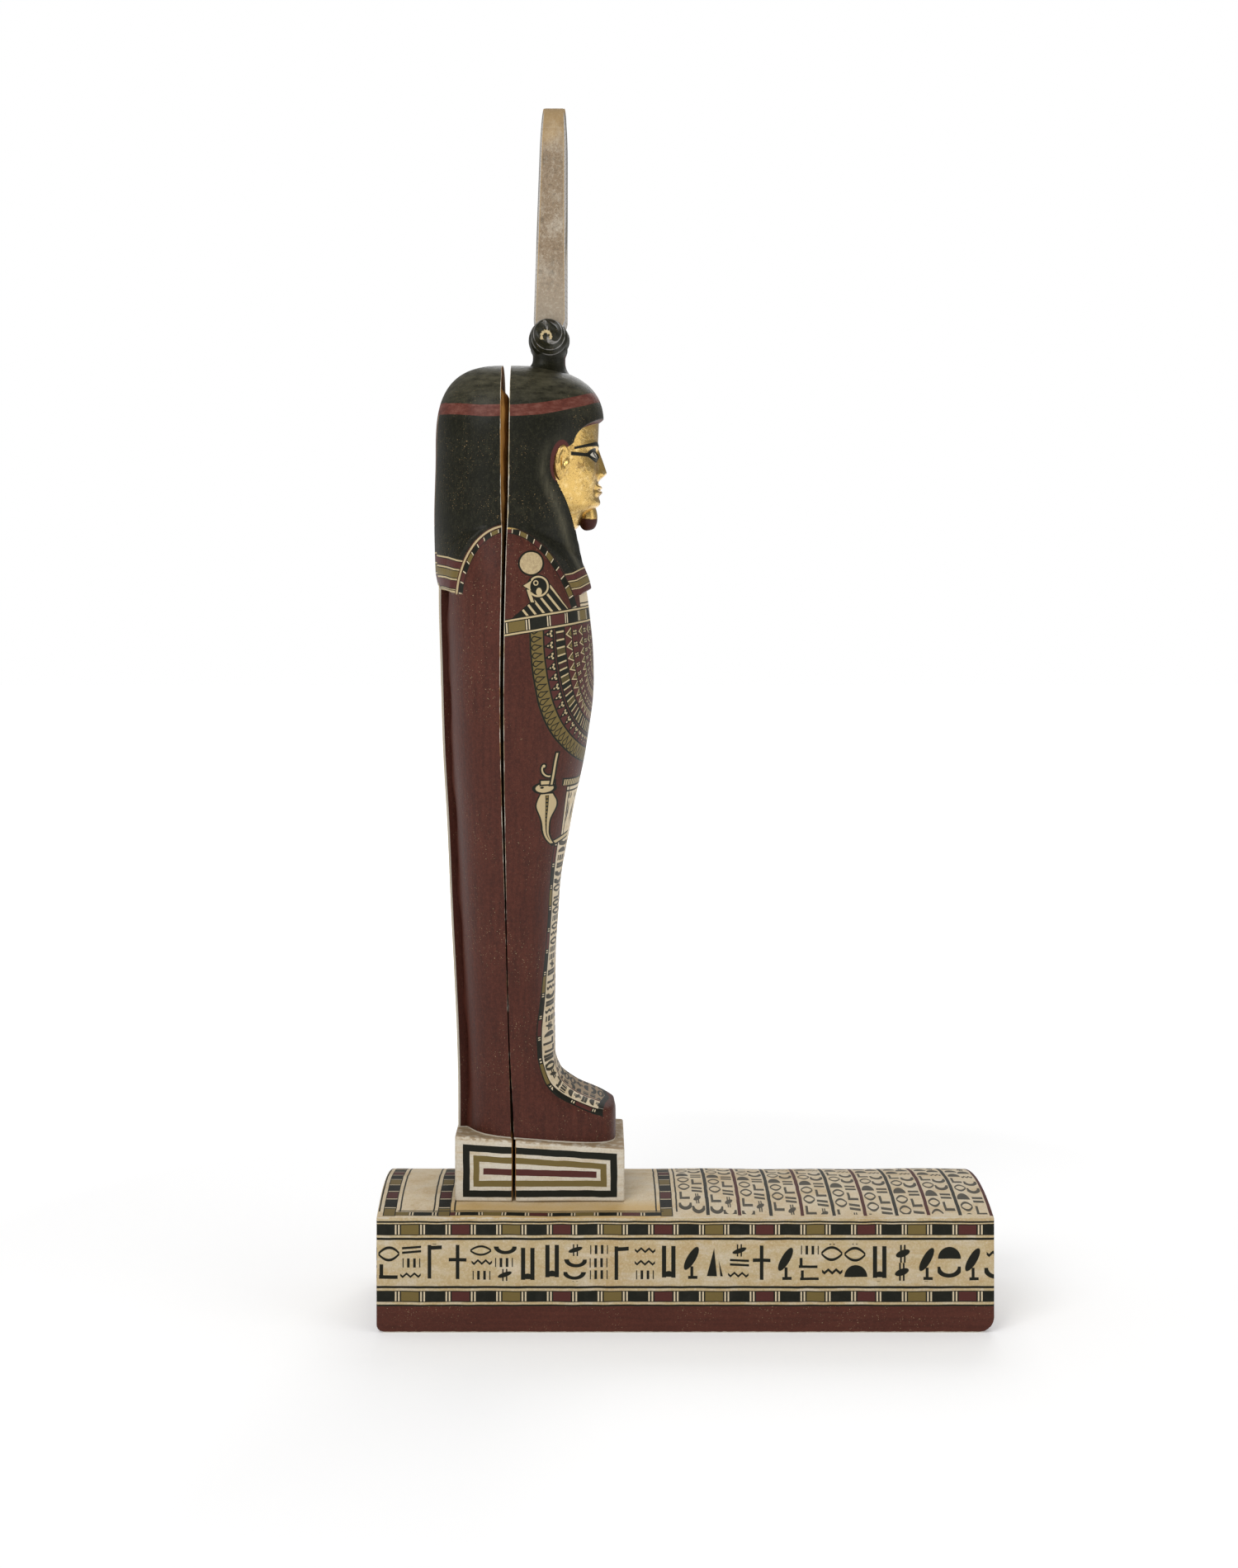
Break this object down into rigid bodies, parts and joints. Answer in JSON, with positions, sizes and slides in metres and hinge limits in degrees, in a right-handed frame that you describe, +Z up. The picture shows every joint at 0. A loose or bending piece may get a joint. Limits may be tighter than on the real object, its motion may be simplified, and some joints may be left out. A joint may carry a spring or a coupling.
{
  "type": "ptah-sokar-osiris figure",
  "caption": "Painted wooden mummiform funerary figure in a front and a back half, with a plumed, ram-horned crown, standing on a long vaulted plinth.",
  "frame": {"origin": "middle of the plinth's underside, on the surface it stands on", "axes": "+Z up, +X along the plinth, the way the figure faces, +Y to the figure's left"},
  "size_m": [0.3146, 0.102, 0.6336],
  "materials": {
    "plinth_paint": "gesso ground with painted bands in red, olive and dark green, slightly worn",
    "figure_paint": "red-brown and dark green paint on gesso, gilded face, satin",
    "crown_paint": "thin pale gesso on wood, dark green horns"
  },
  "bodies": {
    "root": {"plinth": "plinth_paint", "figure_back_half": "figure_paint", "figure_front_half": "figure_paint", "feather_crown": "crown_paint"}
  },
  "joints": []
}
